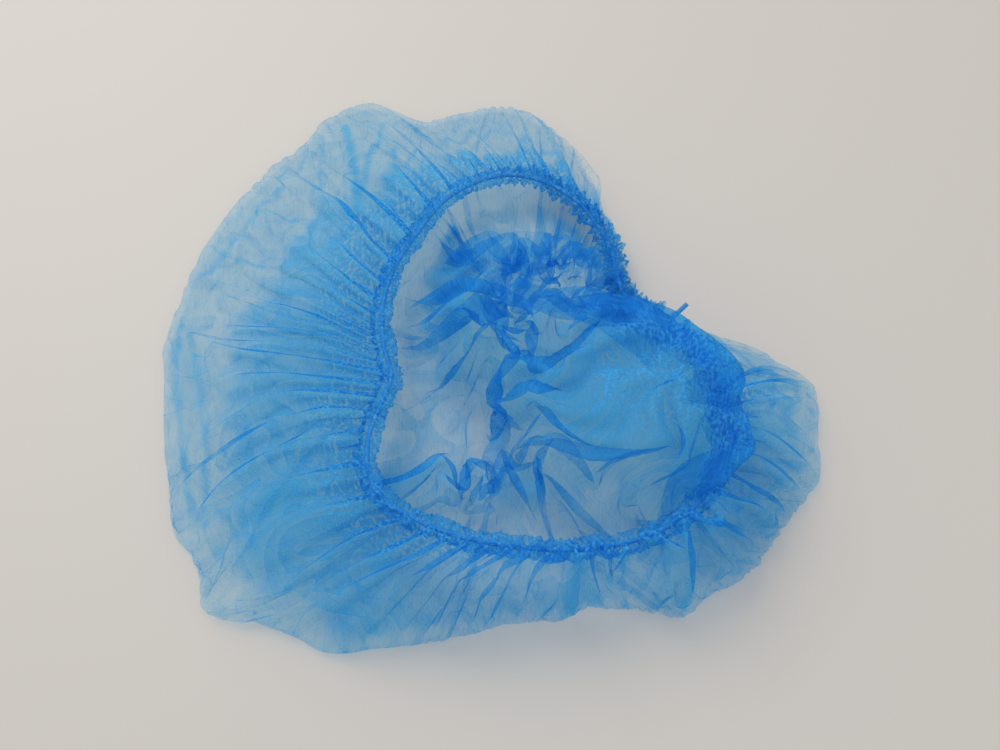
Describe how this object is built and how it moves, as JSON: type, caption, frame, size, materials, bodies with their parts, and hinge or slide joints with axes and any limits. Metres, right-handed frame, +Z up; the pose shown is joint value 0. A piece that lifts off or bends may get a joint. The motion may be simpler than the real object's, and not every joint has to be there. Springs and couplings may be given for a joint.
{
  "type": "disposable bouffant cap",
  "caption": "Thin blue non-woven bouffant cap, or hairnet, lying crown down with its elastic-gathered opening facing up.",
  "frame": {"origin": "middle of the lying cap's outline, on the surface it rests on", "axes": "+X along its longest side, to the right in the picture; +Y away from the viewer; +Z up, out of the gathered opening"},
  "size_m": [0.298, 0.2838, 0.0535],
  "materials": {
    "nonwoven_cloth": "matte, sheer spunbond with a fine bonded point pattern",
    "gathered_cloth": "matte, tightly crimped",
    "covered_elastic": "matte, cloth covered"
  },
  "bodies": {
    "root": {"crown": "nonwoven_cloth", "hem": "gathered_cloth", "elastic": "covered_elastic"}
  },
  "joints": []
}
